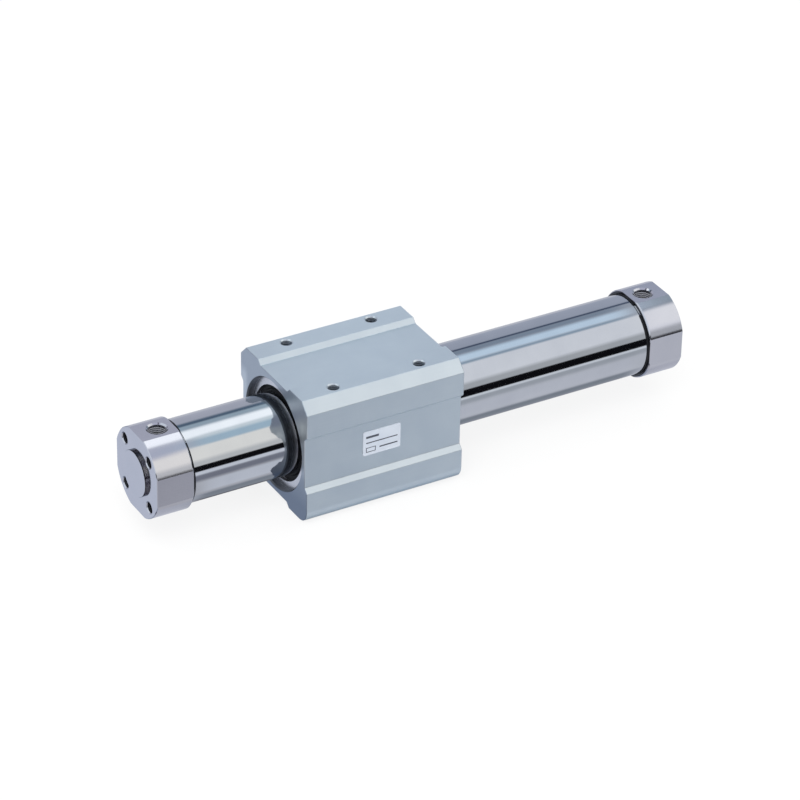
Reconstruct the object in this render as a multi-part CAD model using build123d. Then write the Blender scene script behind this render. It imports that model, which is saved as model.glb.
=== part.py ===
# Magnetically coupled rodless air cylinder, 50 mm bore, 200 mm stroke.
# Millimetres. X runs along the tube, Z is up through the ports, and the origin is
# on the tube's axis at mid length. "left" is the -X end and "right" the +X end.
import math
import os

from build123d import *

# Tube and stroke
stroke = 200.0
tube_bore = 50.0
tube_wall = 1.5
slider_at_rest = -39.5  # the slider's middle, from mid stroke

# Slider body, a square aluminium extrusion
slider_length = 110.0
slider_wall = 4.0  # from the bore to the floor of a face groove
slider_corner = 7.0  # chamfer along the two top corners
slider_round = 10.0  # radius along the two bottom corners
land_round = 0.5  # along the edges of the lands
groove_root = 0.8  # in the corners of the groove floors
face_groove_width = 40.0
face_groove_depth = 3.0
bore_rim = 1.0
edge_break = 0.4
slider_pitch_x = 60.0
slider_pitch_y = 60.0
slider_thread_depth = 12.0
end_gap = 8.0  # slider to head cover at the end of the stroke

# Head covers
cover_length = 25.0
cover_round_wall = 2.6  # outside the tube, on the round corners
cover_flat_wall = 1.0  # outside the tube, on the four flats
cover_shoulder = 1.0  # chamfer of the round corners at the inner end
boss_diameter = 30.0
boss_height = 2.0
cover_pitch = 32.0
cover_thread_depth = 16.0
port_diameter = 11.8
port_from_end = 14.0
port_depth = 12.0
port_rim = 1.0
passage_diameter = 8.0
socket_depth = 4.0
spigot_length = 11.0
thread_drill = 6.8
thread_rim = 0.8
drill_tip = 0.4  # radius of the flat that ends a drill point

# Rings and seals at the covers
cover_ring_width = 1.2
cover_ring_stand = 0.6  # how far the ring stands out of the tube
cover_ring_groove = 0.4
cover_ring_split = 9.0
cover_ring_turn = 115.0  # the split lies behind the top flat
wire_width = 1.2  # the attachment ring, a flat wire half in the tube, half in the cover
wire_height = 1.2
wire_split = 4.0
gasket_depth = 2.6

# Magnet stacks
magnet_count = 4
yoke_length = 4.0
magnet_gap = 1.5  # between the tube and the magnets, outside and inside
yoke_gap = 0.7
outer_magnet_wall = 7.9
shaft_diameter = 14.0

# Slider ends
hole_ring_from_face = 4.2
hole_ring_thickness = 2.5
hole_ring_groove = 1.5
hole_ring_clear = 4.5  # from the tube to the ring's inner edge
hole_ring_offset = 2.3  # the inner edge is off centre, towards the split
hole_ring_turn = -37.0  # the split points down and away from the front
lug_radius = 3.2
lug_hole = 2.5
lug_spread = 5.5
holder_land = 1.8
holder_web = 0.8
wear_ring_length = 8.5
wear_ring_wall = 2.45
wear_ring_split = 1.5
retainer_length = 4.0
retainer_wall = 4.0
scraper_seat_wall = 5.5
scraper_length = 3.3
scraper_lip = 1.6
scraper_ring_gap = 0.5

# Piston ends
piston_gap = 0.4
piston_wear_length = 8.0
piston_wear_wall = 1.6
piston_seal_length = 5.0
piston_seal_wall = 4.0
seal_notch = 1.2
piston_land = 2.5
shaft_shoulder = 6.0
shaft_step = 1.0
shaft_thread_over = 1.0
nut_across_flats = 19.0
nut_height = 7.0
nut_recess_over = 2.0
nut_recess_gap = 1.0
bumper_rim = 3.6
bumper_wall = 6.0
bumper_seat = 2.0
bumper_stand = 2.0

# Clearances
running_fit = 0.05
static_fit = 0.05
stack_fit = 0.1
spigot_fit = 0.1
holder_gap = 0.5
stroke_end_gap = 0.3

# Sizes that follow from these
tube_radius = tube_bore / 2 + tube_wall
bore_radius = tube_bore / 2
cover_inner = slider_length / 2 + stroke / 2 + end_gap
cover_outer = cover_inner + cover_length
cover_radius = tube_radius + cover_round_wall
cover_half_flat = tube_radius + cover_flat_wall
tube_end = cover_inner + socket_depth
spigot_end = cover_inner - spigot_length
wire_start = cover_inner + (socket_depth - wire_width) / 2
slider_bore_radius = tube_radius + magnet_gap + outer_magnet_wall + stack_fit
groove_floor = slider_bore_radius + slider_wall
slider_half = groove_floor + face_groove_depth
slider_end = slider_length / 2
hole_ring_outer_face = slider_end - hole_ring_from_face
hole_ring_inner_face = hole_ring_outer_face - hole_ring_thickness
hole_ring_radius = tube_radius + hole_ring_clear
scraper_start = hole_ring_inner_face - scraper_length
retainer_start = scraper_start - holder_web - retainer_length
wear_groove_length = wear_ring_length + 2 * running_fit
wear_groove_start = retainer_start - holder_land - wear_groove_length
stack_half = wear_groove_start - holder_land
yoke_total = (magnet_count + 1) * yoke_length
magnet_length = (2 * stack_half - yoke_total) / magnet_count
shaft_end_diameter = shaft_diameter - 2 * shaft_step
piston_reach = slider_end + end_gap - spigot_length - stroke_end_gap
piston_face = piston_reach - bumper_stand
piston_radius = bore_radius - piston_gap
nut_seat = piston_face - nut_height - nut_recess_over
nut_recess_radius = nut_across_flats / 2 / math.cos(math.pi / 6) + nut_recess_gap
bumper_outer = piston_radius - bumper_rim
bumper_inner = bumper_outer - bumper_wall
reach = 2 * cover_outer  # longer than any cut needs

os.makedirs("parts", exist_ok=True)


def turned(*profile):
    """A solid of revolution about the X axis, from points (x, radius)."""
    outline = Polyline([(x, 0, radius) for x, radius in profile], close=True)
    return revolve(make_face(outline), Axis.X)


def ring(start, end, inner, outer):
    return turned((start, inner), (end, inner), (end, outer), (start, outer))


def bar(start, end, radius, y=0.0, z=0.0):
    """A round bar along X."""
    middle = (start + end) / 2
    return Location((middle, y, z), (0, 90, 0)) * Cylinder(radius, end - start)


def upright(x, y, bottom, top, radius):
    """A round bar along Z."""
    return Location((x, y, (bottom + top) / 2)) * Cylinder(radius, top - bottom)


def cone_x(start, end, start_radius, end_radius, y, z):
    """A cone frustum along X, off the axis."""
    frustum = turned((start, 0), (end, 0), (end, end_radius), (start, start_radius))
    return Location((0, y, z)) * frustum


def cone_z(x, y, bottom, top, bottom_radius, top_radius):
    """A cone frustum along Z."""
    frustum = Cone(bottom_radius, top_radius, top - bottom)
    return Location((x, y, (bottom + top) / 2)) * frustum


def split(body, width, angle=-90.0):
    """Cut a gap through one side of a ring: -90 degrees is the bottom."""
    gap = Location((0, reach / 2, 0)) * Box(2 * reach, reach, width)
    return body - Rot(angle, 0, 0) * gap


def far_end(body):
    """The same piece at the other end."""
    return mirror(body, about=Plane.YZ)


def break_ends(body):
    """Chamfer the rims of the two faces that end a body along X."""
    faces = body.faces().sort_by(Axis.X)
    return chamfer(faces[0].edges() + faces[-1].edges(), edge_break)


def square_pattern(pitch_a, pitch_b):
    return [(a * pitch_a / 2, b * pitch_b / 2) for a in (-1, 1) for b in (-1, 1)]


def cylinder_tube():
    tube = ring(-tube_end, tube_end, bore_radius, tube_radius)
    grooves = ring(
        cover_inner - cover_ring_width,
        cover_inner,
        tube_radius - cover_ring_groove,
        cover_radius,
    )
    grooves += attachment_wire(static_fit)
    tube -= grooves
    tube -= far_end(grooves)
    return tube


def attachment_wire(clearance):
    """The flat wire, or with a clearance the groove that it lies in."""
    middle = tube_radius + static_fit / 2
    half = wire_height / 2 + clearance
    return ring(
        wire_start - clearance,
        wire_start + wire_width + clearance,
        middle - half,
        middle + half,
    )


def head_cover():
    """The right head cover, with its port on top."""
    disc = turned(
        (cover_inner, 0),
        (cover_inner, cover_radius - cover_shoulder),
        (cover_inner + cover_shoulder, cover_radius),
        (cover_outer, cover_radius),
        (cover_outer, 0),
    )
    width = cover_half_flat * 2
    square = Location(((cover_inner + cover_outer) / 2, 0, 0)) * Box(reach, width, width)
    body = disc & square
    body = break_ends(body)
    boss_rim = edge_break / 2
    body += turned(
        (cover_outer - edge_break, 0),
        (cover_outer + boss_height, 0),
        (cover_outer + boss_height, boss_diameter / 2 - boss_rim),
        (cover_outer + boss_height - boss_rim, boss_diameter / 2),
        (cover_outer - edge_break, boss_diameter / 2),
    )
    body -= ring(spigot_end, tube_end, 0, tube_radius + static_fit)
    body += spigot()
    body -= attachment_wire(static_fit)
    body -= port()
    for y, z in square_pattern(cover_pitch, cover_pitch):
        body -= tapped_hole_x(y, z)
    return body


def spigot():
    """The plug that fills the tube's end and carries the gasket."""
    radius = bore_radius - spigot_fit
    gasket_at = (spigot_end + cover_inner) / 2
    floor = bore_radius - gasket_depth
    half = gasket_depth / 2 + static_fit
    plug = turned(
        (spigot_end, 0),
        (spigot_end, radius - edge_break),
        (spigot_end + edge_break, radius),
        (gasket_at - half, radius),
        (gasket_at - half, floor),
        (gasket_at + half, floor),
        (gasket_at + half, radius),
        (tube_end + edge_break, radius),
        (tube_end + edge_break, 0),
    )
    return plug


def port():
    """The port's tap drill from the top flat, and its way into the tube."""
    x = cover_outer - port_from_end
    top = cover_half_flat
    drill = upright(x, 0, top - port_depth, top + port_rim, port_diameter / 2)
    rim = cone_z(x, 0, top - port_rim, top, port_diameter / 2, port_diameter / 2 + port_rim)
    down = upright(x, 0, 0, top, passage_diameter / 2)
    along = bar(0, x, passage_diameter / 2)
    bottom = Location((x, 0, 0)) * Sphere(passage_diameter / 2)
    return drill + rim + down + along + bottom


def tapped_hole_x(y, z):
    radius = thread_drill / 2
    start = cover_outer - cover_thread_depth
    hole = bar(start, cover_outer + thread_rim, radius, y, z)
    point = cone_x(start - radius / 2, start, drill_tip, radius, y, z)
    rim = cone_x(cover_outer - thread_rim, cover_outer, radius, radius + thread_rim, y, z)
    return hole + point + rim


def tube_gasket():
    gasket_at = (spigot_end + cover_inner) / 2
    radius = gasket_depth / 2 - static_fit / 2
    middle = bore_radius - gasket_depth / 2
    section = Location((gasket_at, 0, middle), (90, 0, 0)) * Circle(radius)
    return revolve(section, Axis.X)


def cover_snap_ring():
    inner = tube_radius - cover_ring_groove + static_fit / 2
    outer = tube_radius + cover_ring_stand
    body = ring(cover_inner - cover_ring_width, cover_inner, inner, outer)
    return split(body, cover_ring_split, cover_ring_turn)


def attachment_ring():
    return split(attachment_wire(0), wire_split)


def slider_section():
    """The extrusion's outline across the tube: width along Y, height along Z."""
    side = 2 * slider_half
    outline = Rectangle(side, side)
    for turn in range(4):
        outline -= Rot(0, 0, turn * 90) * groove_outline()
    corners = outline.vertices().sort_by(lambda v: abs(v.X) + abs(v.Y))[-4:]
    outline = chamfer(corners.sort_by(Axis.Y)[2:], slider_corner)
    corners = outline.vertices().sort_by(Axis.Y)[:4].sort_by(Axis.X)
    outline = fillet([corners[0], corners[-1]], slider_round)
    on_floor = slider_half - land_round
    roots = [v for v in outline.vertices() if max(abs(v.X), abs(v.Y)) < on_floor]
    outline = fillet(roots, groove_root)
    rounded = slider_half - slider_round
    lands = [v for v in outline.vertices() if max(abs(v.X), abs(v.Y)) > on_floor]
    lands = [v for v in lands if v.Y > 0 or min(abs(v.X), abs(v.Y)) < rounded - land_round]
    return fillet(lands, land_round)


def groove_outline():
    """The shallow groove in the top face, its flanks at 45 degrees."""
    mouth = face_groove_width / 2
    floor = mouth - face_groove_depth
    return make_face(
        Polyline(
            (-mouth, slider_half),
            (mouth, slider_half),
            (floor, groove_floor),
            (-floor, groove_floor),
            close=True,
        )
    )


def slider_body():
    """The square extrusion, bored through, with its middle at the origin."""
    section = Plane.YZ * slider_section()
    body = extrude(section, slider_end, both=True)
    body = break_ends(body)
    body -= bar(-reach, reach, slider_bore_radius)
    for end in (-1, 1):
        groove = ring(
            hole_ring_inner_face - static_fit,
            hole_ring_outer_face + static_fit,
            0,
            slider_bore_radius + hole_ring_groove,
        )
        rim = turned(
            (slider_end - bore_rim, 0),
            (slider_end - bore_rim, slider_bore_radius),
            (slider_end, slider_bore_radius + bore_rim),
            (slider_end, 0),
        )
        cut = groove + rim
        body -= cut if end > 0 else far_end(cut)
    for x, y in square_pattern(slider_pitch_x, slider_pitch_y):
        body -= tapped_hole_z(x, y)
    return body


def tapped_hole_z(x, y):
    radius = thread_drill / 2
    bottom = slider_half - slider_thread_depth
    hole = upright(x, y, bottom, slider_half + thread_rim, radius)
    rim = cone_z(x, y, slider_half - thread_rim, slider_half, radius, radius + thread_rim)
    return hole + rim


def hole_snap_ring():
    """The retaining ring in the right end of the bore, eccentric, with two lugs."""
    outer = slider_bore_radius + hole_ring_groove - static_fit
    lug_at = outer - lug_radius - edge_break
    flat = Circle(outer) - Pos(hole_ring_offset, 0) * Circle(hole_ring_radius)
    for side in (-1, 1):
        flat += Pos(lug_at, side * lug_spread) * Circle(lug_radius)
    flat -= Pos(outer, 0) * Rectangle(outer, 2 * (lug_spread - lug_radius))
    for side in (-1, 1):
        flat -= Pos(lug_at, side * lug_spread) * Circle(lug_hole / 2)
    section = Plane(origin=(hole_ring_inner_face, 0, 0), x_dir=(0, 1, 0), z_dir=(1, 0, 0))
    body = extrude(section * flat, hole_ring_thickness)
    return Rot(hole_ring_turn, 0, 0) * body


def holder():
    """The aluminium end piece inside the slider, for wear ring, lube retainer and scraper."""
    outer = slider_bore_radius - static_fit
    inner = tube_radius + holder_gap
    wear_floor = tube_radius + running_fit + wear_ring_wall + running_fit
    retainer_floor = tube_radius + retainer_wall + static_fit
    body = ring(stack_half, hole_ring_inner_face, inner, outer)
    body -= ring(wear_groove_start, wear_groove_start + wear_groove_length, 0, wear_floor)
    body -= ring(retainer_start, retainer_start + retainer_length, 0, retainer_floor)
    body -= ring(scraper_start, reach, 0, tube_radius + scraper_seat_wall)
    return body


def wear_ring():
    inner = tube_radius + running_fit
    start = wear_groove_start + running_fit
    body = ring(start, start + wear_ring_length, inner, inner + wear_ring_wall)
    return split(body, wear_ring_split, 90.0)


def lube_retainer():
    inner = tube_radius + running_fit
    end = retainer_start + retainer_length
    return ring(retainer_start, end, inner, tube_radius + retainer_wall)


def scraper():
    """A rubber wiper: a square heel in the holder and a lip that leans on the tube."""
    lip = tube_radius + running_fit
    lip_outer = hole_ring_radius - hole_ring_offset - scraper_ring_gap
    heel_gap = tube_radius + holder_gap
    outer = tube_radius + scraper_seat_wall - static_fit
    return turned(
        (scraper_start, heel_gap),
        (scraper_start, outer),
        (hole_ring_inner_face, outer),
        (hole_ring_inner_face, lip_outer),
        (hole_ring_inner_face + scraper_lip, (lip + lip_outer) / 2),
        (hole_ring_inner_face + scraper_lip, lip),
        (hole_ring_inner_face + scraper_lip / 2, lip),
    )


def stack(first, length, inner, outer, count):
    """Equal rings along the slider's axis, one magnet and one yoke apart."""
    step = magnet_length + yoke_length
    starts = [first + n * step for n in range(count)]
    return [ring(start, start + length, inner, outer) for start in starts]


def outer_magnets():
    start = yoke_length - stack_half
    inner = tube_radius + magnet_gap
    outer = slider_bore_radius - stack_fit
    return stack(start, magnet_length, inner, outer, magnet_count)


def outer_yokes():
    inner = tube_radius + yoke_gap
    outer = slider_bore_radius - stack_fit
    return stack(-stack_half, yoke_length, inner, outer, magnet_count + 1)


def inner_magnets():
    start = yoke_length - stack_half
    inner = shaft_diameter / 2 + static_fit
    outer = bore_radius - magnet_gap
    return stack(start, magnet_length, inner, outer, magnet_count)


def inner_yokes():
    inner = shaft_diameter / 2 + static_fit
    outer = bore_radius - yoke_gap
    return stack(-stack_half, yoke_length, inner, outer, magnet_count + 1)


def piston_shaft():
    shoulder = stack_half + shaft_shoulder
    end = nut_seat + nut_height + shaft_thread_over
    break_at = shaft_end_diameter / 2 - edge_break
    half = turned(
        (0, 0),
        (0, shaft_diameter / 2),
        (shoulder, shaft_diameter / 2),
        (shoulder, shaft_end_diameter / 2),
        (end - edge_break, shaft_end_diameter / 2),
        (end, break_at),
        (end, 0),
    )
    return half + far_end(half)


def piston():
    """The right piston: its seal, wear ring, bumper and nut sit in it."""
    wear_start = stack_half + piston_land
    wear_end = wear_start + piston_wear_length + 2 * static_fit
    seal_end = piston_face - piston_land
    seal_start = seal_end - piston_seal_length - 2 * static_fit
    wear_floor = bore_radius - running_fit - piston_wear_wall - static_fit
    seal_floor = bore_radius - running_fit - piston_seal_wall - static_fit
    body = bar(stack_half, piston_face, piston_radius)
    body -= ring(wear_start, wear_end, wear_floor, bore_radius)
    body -= ring(seal_start, seal_end, seal_floor, bore_radius)
    body -= bar(0, stack_half + shaft_shoulder, shaft_diameter / 2 + static_fit)
    body -= bar(0, reach, shaft_end_diameter / 2 + static_fit)
    body -= bar(nut_seat, reach, nut_recess_radius)
    body -= ring(
        piston_face - bumper_seat,
        reach,
        bumper_inner - static_fit,
        bumper_outer + static_fit,
    )
    return body


def piston_wear_ring():
    start = stack_half + piston_land + static_fit
    outer = bore_radius - running_fit
    body = ring(start, start + piston_wear_length, outer - piston_wear_wall, outer)
    return split(body, wear_ring_split, 90.0)


def piston_seal():
    """A cup seal with its notch towards the pressure."""
    end = piston_face - piston_land - static_fit
    start = end - piston_seal_length
    outer = bore_radius - running_fit
    inner = outer - piston_seal_wall
    middle = (outer + inner) / 2
    return turned(
        (start, inner),
        (end, inner),
        (end, middle - seal_notch / 2),
        (end - seal_notch * 2, middle),
        (end, middle + seal_notch / 2),
        (end, outer),
        (start + piston_seal_length / 2, outer),
        (start, outer - seal_notch / 2),
    )


def bumper():
    start = piston_face - bumper_seat
    return turned(
        (start, bumper_inner),
        (piston_reach - edge_break, bumper_inner),
        (piston_reach, bumper_inner + edge_break),
        (piston_reach, bumper_outer - edge_break),
        (piston_reach - edge_break, bumper_outer),
        (start, bumper_outer),
    )


def piston_nut():
    flat = RegularPolygon(nut_across_flats / 2, 6, major_radius=False)
    flat -= Circle(shaft_end_diameter / 2 + static_fit)
    section = Plane(origin=(nut_seat, 0, 0), x_dir=(0, 1, 0), z_dir=(1, 0, 0))
    return extrude(section * flat, nut_height)


def save(name, shape):
    export_step(shape, os.path.join("parts", name + ".step"))


def save_pair(name, right_piece, place=Location()):
    """Write a piece for the right end and its mirror image for the left."""
    save(name + "_right", place * right_piece)
    save(name + "_left", place * far_end(right_piece))


def save_group(name, pieces, place):
    save(name, Compound(children=[place * piece for piece in pieces]))


at_slider = Location((slider_at_rest, 0, 0))

save("cylinder_tube", cylinder_tube())
save_pair("head_cover", head_cover())
save_pair("tube_gasket", tube_gasket())
save_pair("cover_snap_ring", cover_snap_ring())
save_pair("attachment_ring", attachment_ring())

save("slider_body", at_slider * slider_body())
save_pair("slider_end_holder", holder(), at_slider)
save_pair("slider_wear_ring", wear_ring(), at_slider)
save_pair("slider_lube_retainer", lube_retainer(), at_slider)
save_pair("slider_scraper", scraper(), at_slider)
save_pair("hole_snap_ring", hole_snap_ring(), at_slider)
save_group("outer_magnets", outer_magnets(), at_slider)
save_group("outer_yokes", outer_yokes(), at_slider)

save("piston_shaft", at_slider * piston_shaft())
save_pair("piston", piston(), at_slider)
save_pair("piston_seal", piston_seal(), at_slider)
save_pair("piston_wear_ring", piston_wear_ring(), at_slider)
save_pair("piston_bumper", bumper(), at_slider)
save_pair("piston_nut", piston_nut(), at_slider)
save_group("inner_magnets", inner_magnets(), at_slider)
save_group("inner_yokes", inner_yokes(), at_slider)
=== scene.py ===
# Rodless air cylinder, 50 mm bore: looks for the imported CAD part.
# Everything is in metres, X along the tube and Z up through the ports.
import bpy
import math
from mathutils import Matrix, Quaternion, Vector


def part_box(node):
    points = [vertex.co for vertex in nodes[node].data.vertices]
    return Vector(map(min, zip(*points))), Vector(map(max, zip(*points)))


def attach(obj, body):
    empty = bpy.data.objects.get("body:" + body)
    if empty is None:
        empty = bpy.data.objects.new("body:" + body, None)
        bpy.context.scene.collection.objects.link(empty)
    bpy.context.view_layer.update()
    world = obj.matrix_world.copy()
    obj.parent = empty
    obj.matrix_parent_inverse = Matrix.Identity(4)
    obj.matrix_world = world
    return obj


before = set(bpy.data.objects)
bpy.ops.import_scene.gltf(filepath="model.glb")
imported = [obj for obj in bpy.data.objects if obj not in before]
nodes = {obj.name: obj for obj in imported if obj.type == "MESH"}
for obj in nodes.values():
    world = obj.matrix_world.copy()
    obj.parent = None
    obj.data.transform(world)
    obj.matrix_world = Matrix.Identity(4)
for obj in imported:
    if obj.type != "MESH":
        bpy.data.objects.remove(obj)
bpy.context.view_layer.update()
millimetre = 0.001

# places on the covers, counted out from the tube's middle and axis
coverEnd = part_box("head_cover_right")[1].x
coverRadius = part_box("head_cover_right")[1].y
coverFace = coverEnd - 2.0 * millimetre  # the boss stands out from it
coverInner = coverFace - 25.0 * millimetre
bossRadius = 15.0 * millimetre
boltPlace = 16.0 * millimetre
portPlace = coverFace - 14.0 * millimetre

# places on the slider, counted from its middle and the tube's axis
sliderMiddle = (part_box("slider_body")[0].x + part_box("slider_body")[1].x) / 2
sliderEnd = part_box("slider_body")[1].x - sliderMiddle
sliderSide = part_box("slider_body")[1].y
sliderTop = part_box("slider_body")[1].z
sliderHolePlace = 30.0 * millimetre
boreRadius = 36.0 * millimetre

# the drilled holes behind the threads
boltRadius = 3.4 * millimetre
portRadius = 5.9 * millimetre


# camera

camera = {
    "position": (-1.03469, -1.75535, 1.24675),
    "aim": (-0.0048, 0.0, -0.0013),
    "roll": 1.2,  # degrees
    "lens": 171.87,
    "sensor": 36.0,
    "nearClip": 0.05,
    "farClip": 50.0,
}


def placeCamera():
    bpy.ops.object.camera_add(location=camera["position"])
    eye = bpy.context.object
    eye.name = "photoCamera"
    view = Vector(camera["aim"]) - Vector(camera["position"])
    level = view.to_track_quat("-Z", "Y")
    eye.rotation_euler = (level @ Quaternion((0, 0, 1), math.radians(camera["roll"]))).to_euler()
    eye.data.lens = camera["lens"]
    eye.data.sensor_width = camera["sensor"]
    eye.data.clip_start = camera["nearClip"]
    eye.data.clip_end = camera["farClip"]
    bpy.context.scene.camera = eye


placeCamera()
print("camera in place")


# shader wiring

class Wire:
    # one socket of a node tree; sums and products on it add Math nodes
    def __init__(self, tree, port=None):
        self.tree = tree
        self.port = port

    def node(self, kind, settings=None, values=None, out=0):
        made = self.tree.nodes.new(kind)
        for name, value in (settings or {}).items():
            setattr(made, name, value)
        for name, value in (values or {}).items():
            if isinstance(value, Wire):
                self.tree.links.new(value.port, made.inputs[name])
            else:
                made.inputs[name].default_value = value
        return Wire(self.tree, made.outputs[out])

    def maths(self, operation, *terms, clamp=False):
        settings = {"operation": operation, "use_clamp": clamp}
        return self.node("ShaderNodeMath", settings, dict(enumerate(terms)))

    def clamped(self):
        return self.maths("ADD", self, 0.0, clamp=True)

    def __add__(self, other):
        return self.maths("ADD", self, other)

    __radd__ = __add__

    def __sub__(self, other):
        return self.maths("SUBTRACT", self, other)

    def __rsub__(self, other):
        return self.maths("SUBTRACT", other, self)

    def __mul__(self, other):
        return self.maths("MULTIPLY", self, other)

    def __truediv__(self, other):
        return self.maths("DIVIDE", self, other)

    def __gt__(self, other):
        return self.maths("GREATER_THAN", self, other)

    def __lt__(self, other):
        return self.maths("LESS_THAN", self, other)


def between(factor, start, end):
    # start and end are colours or wires; the mix node's colour sockets are 6, 7 and 2
    start, end = [(*c, 1) if isinstance(c, tuple) else c for c in (start, end)]
    sockets = {0: factor, 6: start, 7: end}
    return factor.node("ShaderNodeMix", {"data_type": "RGBA"}, sockets, out=2)


def newMaterial(name):
    made = bpy.data.materials.new(name)
    made.use_nodes = True
    tree = made.node_tree
    surface = tree.nodes["Principled BSDF"]
    where = Wire(tree).node("ShaderNodeTexCoord", out="Object")
    return made, surface, where


def plug(wire, surface, socket):
    wire.tree.links.new(wire.port, surface.inputs[socket])


def axes(where):
    return [where.node("ShaderNodeSeparateXYZ", {}, {0: where}, out=axis) for axis in "XYZ"]


def absolute(wire):
    return wire.maths("ABSOLUTE", wire)


def distance(a, b):
    return a.maths("SQRT", a * a + b * b)


def noise(where, detail=3.0):
    return where.node("ShaderNodeTexNoise", {}, {"Vector": where, "Scale": 1.0, "Detail": detail})


def grain(where, stretch, detail=3.0):
    # noise with its own scale along each axis, per metre
    spread = where.node("ShaderNodeMapping", {}, {"Vector": where, "Scale": stretch})
    return noise(spread, detail)


def turnedGrain(where, density):
    # fine rings round the X axis, on the round faces and the flat ends alike
    x, y, z = axes(where)
    radius = distance(y, z)
    rings = where.node("ShaderNodeCombineXYZ", {}, {"X": x * density, "Y": radius * density})
    return noise(rings)


def bump(height, strength, depth):
    values = {"Height": height, "Strength": strength, "Distance": depth}
    return height.node("ShaderNodeBump", {}, values)


# metals

# where the covers' finish is in shade, and how dark; the fades are per metre
coverShade = {
    "shoulderEnd": coverInner + 0.3 * millimetre,
    "shoulderRadius": coverRadius - 1.3 * millimetre,
    "stepStart": coverFace + 0.02 * millimetre,
    "stepRadius": bossRadius - 0.15 * millimetre,
    "stepEdge": coverEnd - 0.7 * millimetre,
    "stepEdgeDark": 0.8,
    "stepTop": 4.0 * millimetre,
    "stepTopFade": 90,
    "stepTopDark": 0.7,
    "boltRadius": boltRadius + 0.3 * millimetre,
    "boltSpan": (coverFace - 23.0 * millimetre, coverFace - 0.6 * millimetre),
    "portRadius": portRadius + 0.3 * millimetre,
    "portSpan": (8.0 * millimetre, 26.2 * millimetre),
    "portDark": 0.1,
}

# the same for the slider's finish
sliderShade = {
    "holeRadius": boltRadius + 0.3 * millimetre,
    "holeSpan": (sliderTop - 14.0 * millimetre, sliderTop - 3.5 * millimetre),
    "holeDark": 0.6,
    "mouthRadius": boreRadius + 0.9 * millimetre,
    "mouthStart": sliderEnd - 4.1 * millimetre,
    "mouthDark": 0.9,
}

# painted shade on the slider's milled ends: some all over, more towards the bottom,
# and less on the webs beside the bore
endShadeLook = {
    "start": sliderEnd - 0.28 * millimetre,
    "radius": boreRadius + 0.9 * millimetre,
    "allOver": 0.36,
    "bottom": 0.40,
    "bottomAtAxis": 0.3,
    "bottomFade": 22,
    "web": 0.8,
    "webSide": 33.0 * millimetre,
    "webSideFade": 250,
    "webLow": -12.0 * millimetre,
    "webLowFade": 80,
    "webHigh": 30.0 * millimetre,
    "webHighFade": 150,
}


def inSpan(wire, span):
    low, high = span
    return (wire > low) * (wire < high)


def coverShadows(where):
    # the shoulder at the tube's end, the tapped holes, the port, and the step round the
    # boss, which is darkest at its top and along its edge
    look = coverShade
    x, y, z = axes(where)
    outX = absolute(x)
    radius = distance(y, z)
    stepTop = ((z - look["stepTop"]) * look["stepTopFade"]).clamped() * look["stepTopDark"]
    stepEdge = (outX > look["stepEdge"]) * look["stepEdgeDark"]
    step = (outX > look["stepStart"]) * (radius > look["stepRadius"]) * (stepTop + stepEdge)
    shoulder = (outX < look["shoulderEnd"]) * (radius > look["shoulderRadius"])
    fromBolt = distance(absolute(y) - boltPlace, absolute(z) - boltPlace)
    bolt = (fromBolt < look["boltRadius"]) * inSpan(outX, look["boltSpan"])
    fromPort = distance(outX - portPlace, y)
    port = (fromPort < look["portRadius"]) * inSpan(z, look["portSpan"])
    return (step + shoulder + bolt + port * look["portDark"]).clamped()


def sliderShadows(where):
    # the tapped holes, and the bore outside the retaining ring
    look = sliderShade
    x, y, z = axes(where)
    outX = absolute(x - sliderMiddle)
    fromHole = distance(outX - sliderHolePlace, absolute(y) - sliderHolePlace)
    hole = (fromHole < look["holeRadius"]) * inSpan(z, look["holeSpan"])
    mouth = (distance(y, z) < look["mouthRadius"]) * (outX > look["mouthStart"])
    return (hole * look["holeDark"] + mouth * look["mouthDark"]).clamped()


# painted shade on the end faces outside the bore, darker towards the bottom
def paintedEndShade(where):
    look = endShadeLook
    x, y, z = axes(where)
    end = (absolute(x - sliderMiddle) > look["start"]) * (distance(y, z) > look["radius"])
    bottom = (look["bottomAtAxis"] - z * look["bottomFade"]).clamped()
    webSide = ((absolute(y) - look["webSide"]) * look["webSideFade"]).clamped()
    webLow = ((z - look["webLow"]) * look["webLowFade"]).clamped()
    webHigh = ((look["webHigh"] - z) * look["webHighFade"]).clamped()
    web = webSide * webLow * webHigh * look["web"]
    endShade = bottom * look["bottom"] + look["allOver"]
    return (end * endShade * (1 - web)).clamped()


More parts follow.
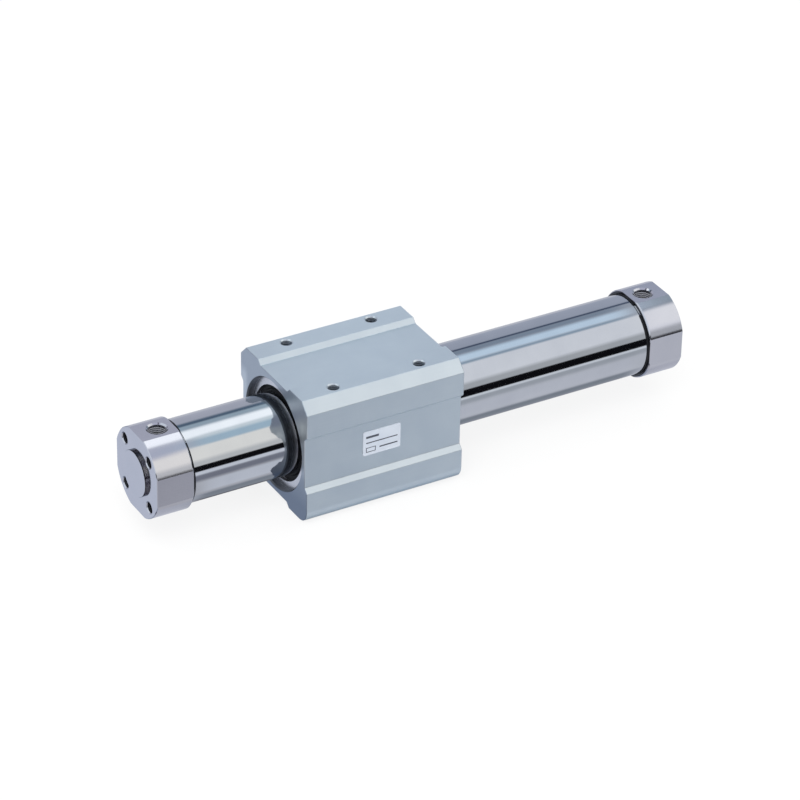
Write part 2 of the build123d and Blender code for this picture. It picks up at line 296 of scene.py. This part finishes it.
# each metal has fine lines, turned round X or with a scale along each axis, per metre
metals = {
    "tubeStainless": {
        "colour": (0.60, 0.62, 0.645), "deep": (0.54, 0.56, 0.59),
        "rough": 0.035, "roughSpread": 0.035, "turned": 2600, "lift": 0.015,
    },
    "coverNickel": {
        "colour": (0.63, 0.63, 0.67), "deep": (0.58, 0.585, 0.63),
        "rough": 0.085, "roughSpread": 0.05, "turned": 1400, "lift": 0.03, "dark": coverShadows,
    },
    "sliderAnodised": {
        "colour": (0.67, 0.73, 0.76), "deep": (0.61, 0.67, 0.71),
        "rough": 0.26, "roughSpread": 0.08, "lines": (24, 1500, 1500), "lift": 0.05,
        "metallic": 0.92, "dark": sliderShadows,
        # the ends' painted shade, in a dark blue-grey
        "endShade": paintedEndShade, "endShadeColour": (0.03, 0.07, 0.15),
    },
    "holderAluminium": {
        "colour": (0.62, 0.63, 0.65), "deep": (0.52, 0.53, 0.55),
        "rough": 0.3, "roughSpread": 0.1, "lines": (1200, 60, 60), "lift": 0.05,
    },
    "ringSteel": {
        "colour": (0.80, 0.80, 0.82), "deep": (0.66, 0.66, 0.68),
        "rough": 0.22, "roughSpread": 0.1, "lines": (400, 700, 700), "lift": 0.04,
    },
    "shaftStainless": {
        "colour": (0.58, 0.60, 0.62), "deep": (0.48, 0.50, 0.53),
        "rough": 0.14, "roughSpread": 0.08, "lines": (1800, 40, 40), "lift": 0.03,
    },
    "magnetNickel": {
        "colour": (0.50, 0.49, 0.47), "deep": (0.38, 0.375, 0.36),
        "rough": 0.24, "roughSpread": 0.12, "lines": (260, 260, 260), "lift": 0.03,
    },
    # dark blue-grey: painted shade for the tapped holes in the slider
    "shadedBoltCut": {
        "colour": (0.24, 0.27, 0.32), "deep": (0.13, 0.15, 0.18),
        "rough": 0.38, "roughSpread": 0.12, "lines": (700, 700, 700), "lift": 0.04,
    },
    # near black: painted shade for the deep tapped holes in the covers
    "shadedThreadCut": {
        "colour": (0.06, 0.06, 0.065), "deep": (0.03, 0.03, 0.035),
        "rough": 0.38, "roughSpread": 0.12, "lines": (700, 700, 700), "lift": 0.04,
    },
    "portCut": {
        "colour": (0.52, 0.53, 0.57), "deep": (0.42, 0.43, 0.47),
        "rough": 0.5, "roughSpread": 0.12, "lines": (700, 700, 700), "lift": 0.04,
        "metallic": 0.35,
    },
    "yokeSteel": {
        "colour": (0.36, 0.37, 0.39), "deep": (0.27, 0.275, 0.29),
        "rough": 0.32, "roughSpread": 0.14, "lines": (1500, 90, 90), "lift": 0.05,
    },
}

# how the clouds and the fine lines vary every metal, and what its shaded spots take on
metalMix = {
    "cloudScale": (55, 55, 55),
    "cloudDetail": 2.0,
    "cloudFrom": 0.35,
    "cloudShare": 1.54,
    "linesFrom": 0.3,
    "linesShare": 0.5,
    "cloudRough": 0.5,
    "liftDepth": 0.02 * millimetre,
    "shade": 0.94,
    "shadeColour": (0.03, 0.03, 0.035),
}


def metal(name):
    look = metals[name]
    made, surface, where = newMaterial(name)
    lines = turnedGrain(where, look["turned"]) if "turned" in look else grain(where, look["lines"])
    cloud = grain(where, metalMix["cloudScale"], metalMix["cloudDetail"])
    cloudy = (cloud - metalMix["cloudFrom"]) * metalMix["cloudShare"]
    lined = (lines - metalMix["linesFrom"]) * metalMix["linesShare"]
    colour = between((cloudy + lined).clamped(), look["deep"], look["colour"])
    # painted shade on the slider's ends, then the painted shade of holes, recesses and steps
    if "endShade" in look:
        colour = between(look["endShade"](where), colour, look["endShadeColour"])
    if "dark" in look:
        shade = look["dark"](where) * metalMix["shade"]
        colour = between(shade, colour, metalMix["shadeColour"])
    plug(colour, surface, "Base Color")
    spread = lines + cloud * metalMix["cloudRough"]
    plug(spread * look["roughSpread"] + look["rough"], surface, "Roughness")
    plug(bump(lines, look["lift"], metalMix["liftDepth"]), surface, "Normal")
    surface.inputs["Metallic"].default_value = look.get("metallic", 1.0)
    return made


# rubber, resin and blackened steel

softs = {
    "blackSpringSteel": {
        "colour": (0.004, 0.004, 0.006), "worn": (0.010, 0.011, 0.014),
        "rough": 0.34, "speck": 900, "lift": 0.08, "shine": 0.18,
    },
    "blackRubber": {
        "colour": (0.005, 0.005, 0.006), "worn": (0.012, 0.012, 0.014),
        "rough": 0.5, "speck": 1600, "lift": 0.15, "shine": 0.12,
    },
    "wearResin": {
        "colour": (0.30, 0.20, 0.11), "worn": (0.38, 0.27, 0.16),
        "rough": 0.5, "speck": 700, "lift": 0.1,
    },
    "lubeResin": {
        "colour": (0.62, 0.56, 0.42), "worn": (0.72, 0.67, 0.54),
        "rough": 0.62, "speck": 1100, "lift": 0.25,
    },
    "urethane": {
        "colour": (0.42, 0.20, 0.05), "worn": (0.52, 0.28, 0.09),
        "rough": 0.4, "speck": 600, "lift": 0.06,
    },
}

# how clouds and specks vary them
softMix = {
    "cloudScale": (70, 70, 70),
    "cloudDetail": 2.0,
    "cloudShare": 1.6,
    "cloudLess": 0.3,
    "speckDetail": 4.0,
    "speckMiddle": 0.5,
    "speckRough": 0.25,
    "liftDepth": 0.05 * millimetre,
    "shine": 0.5,
}


def soft(name):
    look = softs[name]
    made, surface, where = newMaterial(name)
    speck = grain(where, (look["speck"],) * 3, softMix["speckDetail"])
    cloud = grain(where, softMix["cloudScale"], softMix["cloudDetail"])
    cloudy = (cloud * softMix["cloudShare"] - softMix["cloudLess"]).clamped()
    plug(between(cloudy, look["colour"], look["worn"]), surface, "Base Color")
    rough = (speck - softMix["speckMiddle"]) * softMix["speckRough"] + look["rough"]
    plug(rough, surface, "Roughness")
    plug(bump(speck, look["lift"], softMix["liftDepth"]), surface, "Normal")
    surface.inputs["Specular IOR Level"].default_value = look.get("shine", softMix["shine"])
    return made


finishes = {name: metal(name) for name in metals}
finishes.update({name: soft(name) for name in softs})

# which finish each node wears, by the start of its name; the longest start counts
finishOf = {
    "cylinder_tube": "tubeStainless",
    "head_cover": "coverNickel",
    "tube_gasket": "blackRubber",
    "cover_snap_ring": "blackSpringSteel",
    "attachment_ring": "ringSteel",
    "slider_body": "sliderAnodised",
    "slider_end_holder": "holderAluminium",
    "slider_wear_ring": "wearResin",
    "slider_lube_retainer": "lubeResin",
    "slider_scraper": "blackRubber",
    "hole_snap_ring": "ringSteel",
    "outer_magnets": "magnetNickel",
    "inner_magnets": "magnetNickel",
    "outer_yokes": "yokeSteel",
    "inner_yokes": "yokeSteel",
    "piston_shaft": "shaftStainless",
    "piston_seal": "blackRubber",
    "piston_wear_ring": "wearResin",
    "piston_bumper": "urethane",
    "piston_nut": "ringSteel",
    "piston_left": "holderAluminium",
    "piston_right": "holderAluminium",
}


def dress(node):
    starts = [start for start in finishOf if node.startswith(start)]
    shown = nodes[node].data.materials
    shown.clear()
    shown.append(finishes[finishOf[max(starts, key=len)]])


for node in nodes:
    dress(node)
print("finishes on", len(nodes), "nodes")


# helpers for new pieces

def nothingSelected():
    bpy.ops.object.select_all(action="DESELECT")


def pick(piece):
    nothingSelected()
    piece.select_set(True)
    bpy.context.view_layer.objects.active = piece


def selectWhere(piece, kind, test):
    # kind is "vert", "edge" or "face"; test gets a corner's place, an edge's middle or a face
    bpy.ops.object.mode_set(mode="EDIT")
    bpy.ops.mesh.select_mode(type=kind.upper())
    bpy.ops.mesh.select_all(action="DESELECT")
    bpy.ops.object.mode_set(mode="OBJECT")
    mesh = piece.data
    if kind == "vert":
        for corner in mesh.vertices:
            corner.select = test(corner.co)
    elif kind == "edge":
        for edge in mesh.edges:
            start, end = [mesh.vertices[n].co for n in edge.vertices]
            edge.select = test((start + end) / 2)
    else:
        for face in mesh.polygons:
            face.select = test(face)
    bpy.ops.object.mode_set(mode="EDIT")


def settle(piece):
    pick(piece)
    bpy.ops.object.transform_apply(location=True, rotation=True, scale=True)


def apply(piece, modifier):
    pick(piece)
    bpy.ops.object.modifier_apply(modifier=modifier.name)


# blank data plate on the slider's front face

plate = {
    "width": 26.4 * millimetre,
    "height": 17.2 * millimetre,
    "thickness": 0.5 * millimetre,
    "middleX": sliderMiddle - 1.3 * millimetre,
    "middleZ": 2.6 * millimetre,
    "backY": -(sliderSide - 3.0 * millimetre),  # the floor of the face's groove
    "corner": 1.2 * millimetre,
    "cornerSteps": 5,
    "frame": 0.7 * millimetre,
    "sunk": 0.12 * millimetre,
    "rimBreak": 0.08 * millimetre,
    "rimSteps": 2,
    "smooth": math.radians(35),
    # height, start, end and thickness of each line, as shares of the plate
    "rules": ((0.70, 0.08, 0.42, 0.09), (0.49, 0.08, 0.92, 0.045), (0.21, 0.44, 0.92, 0.055)),
    # left, right, low and high side of the empty box, and how wide its upright and
    # level lines are
    "box": (0.08, 0.34, 0.12, 0.32),
    "boxLines": (0.02, 0.03),
    "silver": ((0.57, 0.62, 0.70), (0.66, 0.71, 0.78)),
    "cloudScale": (90, 90, 90),
    "cloudDetail": 2.0,
    "cloudShare": 1.5,
    "cloudLess": 0.25,
    "brushScale": (60, 1, 3200),
    "ink": (0.035, 0.04, 0.06),
    "inkShare": 0.93,
    "rough": 0.34,
    "brushRough": 0.14,
    "inkRough": 0.1,
    "lift": 0.05,
    "liftDepth": 0.02 * millimetre,
    "metallic": 0.35,
}


def plateInk(where):
    # blank lines to write on, and an empty box
    x, y, z = axes(where)
    across = (x - plate["middleX"]) / plate["width"] + 0.5
    up = (z - plate["middleZ"]) / plate["height"] + 0.5
    left, right, low, high = plate["box"]
    lineAcross, lineUp = plate["boxLines"]
    ink = inSpan(across, (left, right)) * inSpan(up, (low, high))
    empty = inSpan(across, (left + lineAcross, right - lineAcross))
    ink = ink - empty * inSpan(up, (low + lineUp, high - lineUp))
    for height, start, end, thickness in plate["rules"]:
        ink = ink + inSpan(up, (height, height + thickness)) * inSpan(across, (start, end))
    return ink.clamped()


def plateFinish():
    made, surface, where = newMaterial("plateFoil")
    ink = plateInk(where)
    brushed = grain(where, plate["brushScale"])
    cloud = grain(where, plate["cloudScale"], plate["cloudDetail"])
    silver = between((cloud * plate["cloudShare"] - plate["cloudLess"]).clamped(), *plate["silver"])
    plug(between(ink * plate["inkShare"], silver, plate["ink"]), surface, "Base Color")
    rough = brushed * plate["brushRough"] + ink * plate["inkRough"] + plate["rough"]
    plug(rough, surface, "Roughness")
    plug(bump(brushed, plate["lift"], plate["liftDepth"]), surface, "Normal")
    surface.inputs["Metallic"].default_value = plate["metallic"]
    return made


def isPlateCorner(middle):
    # the middle of one of the four edges that run through the plate
    offX = abs(middle.x - plate["middleX"]) - plate["width"] / 2
    offZ = abs(middle.z - plate["middleZ"]) - plate["height"] / 2
    return max(abs(offX), abs(offZ)) < 0.001 * millimetre


def makePlate():
    nothingSelected()
    bpy.ops.mesh.primitive_cube_add(size=1, location=(
        plate["middleX"], plate["backY"] - plate["thickness"] / 2, plate["middleZ"]))
    piece = bpy.context.object
    piece.name = "data_plate"
    piece.scale = (plate["width"], plate["thickness"], plate["height"])
    settle(piece)
    selectWhere(piece, "edge", isPlateCorner)
    bpy.ops.mesh.bevel(offset=plate["corner"], segments=plate["cornerSteps"])
    # a raised rim round a sunk field, on the face that looks to the front
    selectWhere(piece, "face", lambda face: face.normal.y < -0.9)
    bpy.ops.mesh.inset(thickness=plate["frame"], depth=0)
    bpy.ops.mesh.inset(thickness=plate["sunk"], depth=-plate["sunk"])
    bpy.ops.object.mode_set(mode="OBJECT")
    rim = piece.modifiers.new("rimBreak", "BEVEL")
    rim.width = plate["rimBreak"]
    rim.segments = plate["rimSteps"]
    rim.limit_method = "ANGLE"
    apply(piece, rim)
    pick(piece)
    bpy.ops.object.shade_smooth_by_angle(angle=plate["smooth"])
    piece.data.materials.append(plateFinish())
    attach(piece, "slider")


makePlate()
print("data plate made")


# thread turns in the tapped holes and the ports

threads = {
    "bolt": {
        "radius": boltRadius, "pitch": 1.25 * millimetre, "height": 0.32 * millimetre, "sides": 28,
    },
    "port": {
        "radius": portRadius, "pitch": 1.337 * millimetre, "height": 0.09 * millimetre, "sides": 64,
    },
    "root": 0.06 * millimetre,  # the turns reach this far into the wall
    "rootWidth": 0.92,  # of the pitch
    "crestWidth": 0.16,  # of the root
    "smooth": math.radians(30),
    "coverTurns": 11,
    "coverStart": coverFace - 0.9 * millimetre,
    "sliderTurns": 8,
    "sliderStart": sliderTop - 11.6 * millimetre,
    "portTurns": 7,
    "portStart": 15.4 * millimetre,
}


def threadTurns(kind, name, turns):
    # one helix along Z from the origin, its root on the hole's wall
    look = threads[kind]
    radius = look["radius"]
    pitch = look["pitch"]
    nothingSelected()
    bpy.ops.mesh.primitive_plane_add(size=1, rotation=(math.radians(90), 0, 0))
    piece = bpy.context.object
    piece.name = name
    deep = look["height"] + threads["root"]
    piece.scale = (deep, pitch * threads["rootWidth"], 1)
    piece.location = (radius + threads["root"] - deep / 2, 0, pitch / 2)
    settle(piece)
    # narrow the crest
    crest = radius - look["height"] + 0.01 * millimetre
    selectWhere(piece, "vert", lambda corner: corner.x < crest)
    bpy.ops.transform.resize(value=(1, 1, threads["crestWidth"]))
    bpy.ops.object.mode_set(mode="OBJECT")
    turn = piece.modifiers.new("turns", "SCREW")
    turn.axis = "Z"
    turn.angle = math.radians(360)
    turn.screw_offset = pitch
    turn.iterations = turns
    turn.steps = look["sides"]
    turn.render_steps = look["sides"]
    turn.use_normal_calculate = True
    apply(piece, turn)
    selectWhere(piece, "vert", lambda corner: True)
    bpy.ops.mesh.fill_holes(sides=4)  # close the helix at both ends
    bpy.ops.mesh.normals_make_consistent(inside=False)
    bpy.ops.object.mode_set(mode="OBJECT")
    pick(piece)
    bpy.ops.object.shade_smooth_by_angle(angle=threads["smooth"])
    return piece


def placeThread(master, name, turned, body, finish):
    piece = master.copy()
    piece.data = master.data.copy()
    piece.name = name
    bpy.context.scene.collection.objects.link(piece)
    piece.matrix_world = turned
    settle(piece)
    piece.data.materials.clear()
    piece.data.materials.append(finishes[finish])
    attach(piece, body)


def makeThreads():
    coverThread = threadTurns("bolt", "coverThreadMaster", threads["coverTurns"])
    sliderThread = threadTurns("bolt", "sliderThreadMaster", threads["sliderTurns"])
    portThread = threadTurns("port", "portThreadMaster", threads["portTurns"])
    square = ((-1, -1), (-1, 1), (1, -1), (1, 1))
    for side, sign in (("left", -1), ("right", 1)):
        inwards = Matrix.Rotation(math.radians(-90 * sign), 4, "Y")  # helix Z points into the cover
        for n, (y, z) in enumerate(square):
            place = Matrix.Translation((sign * threads["coverStart"], y * boltPlace, z * boltPlace))
            name = f"cover_thread_{side}_{n + 1}"
            # these threads wear painted shade, near black
            placeThread(coverThread, name, place @ inwards, "barrel", "shadedThreadCut")
        place = Matrix.Translation((sign * portPlace, 0, threads["portStart"]))
        placeThread(portThread, f"port_thread_{side}", place, "barrel", "portCut")
    for n, (x, y) in enumerate(square):
        place = Matrix.Translation((
            sliderMiddle + x * sliderHolePlace, y * sliderHolePlace, threads["sliderStart"]))
        name = f"slider_thread_{n + 1}"
        # these threads wear painted shade, a dark blue-grey
        placeThread(sliderThread, name, place, "slider", "shadedBoltCut")
    for master in (coverThread, sliderThread, portThread):
        bpy.data.objects.remove(master)


makeThreads()
print("threads made")


# studio: floor, light tent, sky and lamp

studio = {
    "floorSize": 8.0,
    "floorColour": (0.9, 0.9, 0.9),
    "floorRough": 0.9,
    "floorGap": 0.2 * millimetre,
    "floorWhite": 0.82,  # share of plain white that the camera sees in the floor
    "skyLevel": 1.0,
    "tentRadius": 1.5,
    "tentLength": 7.0,
    "tentSides": 96,
    "tentWall": (0.60, 0.62, 0.70),
    "reflectShift": 0.478,  # how far along X a reflection lands, per metre out
    # where on the object a panel's near values start to turn into its far ones
    "turnStart": -0.10,
    "turnLength": 0.14,
    "panelFade": 0.02,  # how far a panel fades at its ends on X
    "lampPower": 24,
    "lampSize": 1.6,
    "lampPlace": (-0.7, -1.1, 1.7),
}

farTube = (0.44, 0.99)  # what the far tube mirrors
past = 9.0  # further along X than the tent goes

# cloths and panels hung in the tent. Their edges are in degrees up from the front (-Y)
# and "soft" is how far these fade. "far" and "farTint" are what the far end of the
# object sees, where that differs, and "reach" is where a panel starts and ends on X
panels = {
    "lowBack": {
        "near": (-180, -150), "soft": 6, "reach": (-past, 0.2),
        "tint": (0.38, 0.43, 0.54),
    },
    "backStrip": {
        "near": (-153, -134), "soft": 3, "reach": (-past, 0.2),
        "tint": (0.65, 0.70, 0.82),
    },
    "lowFloor": {
        "near": (-134, -84), "soft": 6, "reach": (-past, 0.2),
        "tint": (0.38, 0.43, 0.54),
    },
    "lowRail": {
        "near": (-150, -106), "soft": 10, "reach": farTube,
        "tint": (0.14, 0.14, 0.16), "farTint": (0.36, 0.37, 0.42),
    },
    "floorShade": {
        "near": (-120, -84), "far": (-120, -86), "soft": 14, "reach": farTube,
        "tint": (0.29, 0.32, 0.37), "farTint": (0.28, 0.31, 0.36),
    },
    "sideCloth": {
        "near": (-84, -30), "soft": 6,
        "tint": (0.57, 0.575, 0.62), "farTint": (0.66, 0.68, 0.74),
    },
    "tubeCloth": {
        "near": (-77, -37), "far": (-79, -36), "soft": 9, "reach": (0.444, 0.99),
        "tint": (0.76, 0.79, 0.88), "farTint": (0.72, 0.74, 0.82),
    },
    "skirt": {
        "near": (-34, -16), "far": (-30, -16), "soft": 9,
        "tint": (0.26, 0.27, 0.33), "farTint": (0.50, 0.53, 0.58),
    },
    "lightLine": {
        "near": (-16, -6), "far": (-17, -8), "soft": 3,
        "tint": (0.84, 0.87, 0.96), "farTint": (0.88, 0.92, 0.98),
    },
    "creamPanel": {
        "near": (8, 60), "far": (9, 79), "soft": 6,
        "tint": (1.12, 1.10, 1.05), "farTint": (0.96, 0.98, 1.04),
    },
    "panelFoot": {
        "near": (6, 22), "far": (6, 26), "soft": 10,
        "tint": (0.74, 0.75, 0.76), "farTint": (0.55, 0.57, 0.60),
    },
    "blackFlag": {
        "near": (-7, 8), "far": (-11, 9), "soft": 2,
        "tint": (0.006, 0.006, 0.008),
    },
    "greyFlag": {
        "near": (-9, 10), "soft": 4, "reach": (-0.37, 0.38),
        "tint": (0.24, 0.25, 0.28),
    },
    "blueGap": {
        "near": (58, 84), "far": (78, 85), "soft": 6, "reach": farTube,
        "tint": (0.52, 0.70, 0.84), "farTint": (0.36, 0.48, 0.60),
    },
    "lilacGap": {
        "near": (52, 84), "soft": 8, "reach": (-past, 0.44),
        "tint": (0.61, 0.63, 0.76),
    },
    "whiteBox": {
        "near": (84, 114), "far": (86, 109), "soft": 6, "reach": (-past, 0.99),
        "tint": (1.42, 1.47, 1.52), "farTint": (0.80, 0.98, 1.16),
    },
    "blueFade": {
        "near": (77, 87), "far": (86, 80), "soft": 8, "reach": farTube,
        "tint": (0.90, 1.00, 1.06),
    },
    "topCurtain": {
        "near": (113, 133), "far": (108, 128), "soft": 14, "reach": (-past, 0.99),
        "tint": (0.44, 0.56, 0.66), "farTint": (0.30, 0.37, 0.47),
    },
    "endCurtain": {
        "near": (80, 128), "far": (82, 128), "soft": 8, "reach": (0.99, past),
        "tint": (0.30, 0.36, 0.41),
    },
    "endLight": {
        "near": (32, 80), "soft": 12, "reach": (0.99, past),
        "tint": (1.16, 1.17, 1.17),
    },
    "darkSeam": {
        "near": (128, 138), "far": (125, 133), "soft": 5,
        "tint": (0.12, 0.18, 0.26), "farTint": (0.07, 0.10, 0.17),
    },
    "ceilingBack": {
        "near": (137, 200), "far": (132, 200), "soft": 5,
        "tint": (0.54, 0.56, 0.66), "farTint": (0.47, 0.51, 0.62),
    },
    # over, before and under the slider
    "sliderCeiling": {
        "near": (130, 175), "soft": 8, "reach": (0.56, 0.74),
        "tint": (0.80, 0.92, 1.04), "farTint": (0.86, 0.98, 1.10),
    },
    "sliderBounce": {
        "near": (-112, -22), "soft": 8, "reach": (0.56, 0.74),
        "tint": (0.235, 0.39, 0.515), "farTint": (0.60, 0.70, 0.88),
    },
    # a slit in the cloth beside the camera, and a lamp at the tent's end
    "slit": {
        "near": (-118, 172), "soft": 12, "reach": (-0.87, -0.69),
        "tint": (0.04, 0.03, 0.045),
    },
    "frontLamp": {
        "near": (14, 185), "soft": 12, "reach": (-past, -1.2),
        "tint": (0.85, 0.92, 1.00),
    },
}


def stageOnly(thing, glossyOnly=False):
    if glossyOnly:
        thing.visible_camera = False
        thing.visible_diffuse = False
        thing.visible_transmission = False
        thing.visible_shadow = False
        thing.visible_volume_scatter = False


def tentLight():
    # a cloth tent with panels hung in it: only reflections see it
    made = bpy.data.materials.new("tentCloth")
    made.use_nodes = True
    tree = made.node_tree
    tree.nodes.remove(tree.nodes["Principled BSDF"])
    where = Wire(tree).node("ShaderNodeTexCoord", out="Object")
    x, y, z = axes(where)
    angle = where.maths("ARCTAN2", z, 0 - y) * (180 / math.pi)
    shift = studio["tentRadius"] * studio["reflectShift"]
    along = ((x - shift - studio["turnStart"]) / studio["turnLength"]).clamped()
    fade = studio["panelFade"]
    colour = studio["tentWall"]
    for panel in panels.values():
        near = panel["near"]
        far = panel.get("far", near)
        low = along * (far[0] - near[0]) + near[0]
        high = along * (far[1] - near[1]) + near[1]
        inside = ((angle - low) / panel["soft"] + 0.5).clamped()
        inside = inside * ((high - angle) / panel["soft"] + 0.5).clamped()
        if "reach" in panel:
            start, end = panel["reach"]
            inside = inside * ((x - start) / fade).clamped() * ((end - x) / fade).clamped()
        tint = panel["tint"]
        colour = between(inside, colour, between(along, tint, panel.get("farTint", tint)))
    glow = colour.node("ShaderNodeEmission", {}, {"Color": colour, "Strength": 1.0})
    tree.links.new(glow.port, tree.nodes["Material Output"].inputs["Surface"])
    return made


def makeTent():
    nothingSelected()
    bpy.ops.mesh.primitive_cylinder_add(
        vertices=studio["tentSides"], radius=studio["tentRadius"], depth=studio["tentLength"],
        rotation=(0, math.radians(90), 0))
    tent = bpy.context.object
    tent.name = "lightTent"
    settle(tent)
    tent.data.materials.append(tentLight())
    stageOnly(tent, glossyOnly=True)


def floorPaint():
    made = bpy.data.materials.new("floorPaint")
    made.use_nodes = True
    tree = made.node_tree
    surface = tree.nodes["Principled BSDF"]
    surface.inputs["Base Color"].default_value = (*studio["floorColour"], 1)
    surface.inputs["Roughness"].default_value = studio["floorRough"]
    surface.inputs["Specular IOR Level"].default_value = 0.0
    seen = Wire(tree).node("ShaderNodeLightPath", out="Is Camera Ray")
    white = seen.node("ShaderNodeEmission", {}, {"Color": (1, 1, 1, 1), "Strength": 1.0})
    mixed = seen.node("ShaderNodeMixShader", {}, {
        0: seen * studio["floorWhite"], 1: Wire(tree, surface.outputs["BSDF"]), 2: white})
    tree.links.new(mixed.port, tree.nodes["Material Output"].inputs["Surface"])
    return made


def makeFloor():
    low = min(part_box(node)[0].z for node in nodes)
    nothingSelected()
    under = (0, 0, low - studio["floorGap"])
    bpy.ops.mesh.primitive_plane_add(size=studio["floorSize"], location=under)
    floor = bpy.context.object
    floor.name = "floor"
    settle(floor)
    floor.visible_glossy = False
    floor.data.materials.append(floorPaint())
    stageOnly(floor)


def makeWorld():
    world = bpy.data.worlds.new("studioWorld")
    bpy.context.scene.world = world
    world.use_nodes = True
    tree = world.node_tree
    back = tree.nodes["Background"]
    rays = [Wire(tree).node("ShaderNodeLightPath", out=name) for name in (
        "Is Camera Ray", "Is Glossy Ray", "Is Transmission Ray")]
    plain = (rays[0] + rays[1] + rays[2]).clamped()
    back.inputs["Color"].default_value = (1, 1, 1, 1)
    plug(plain * (1 - studio["skyLevel"]) + studio["skyLevel"], back, "Strength")


def makeLamp():
    nothingSelected()
    aim = (Vector((0, 0, 0)) - Vector(studio["lampPlace"])).to_track_quat("-Z", "Y").to_euler()
    bpy.ops.object.light_add(type="AREA", location=studio["lampPlace"], rotation=aim)
    lamp = bpy.context.object
    lamp.name = "softLamp"
    lamp.data.energy = studio["lampPower"]
    lamp.data.size = studio["lampSize"]
    lamp.visible_glossy = False


makeTent()
makeFloor()
makeWorld()
makeLamp()
print("studio set")

view = bpy.context.scene.view_settings
view.view_transform = "Standard"
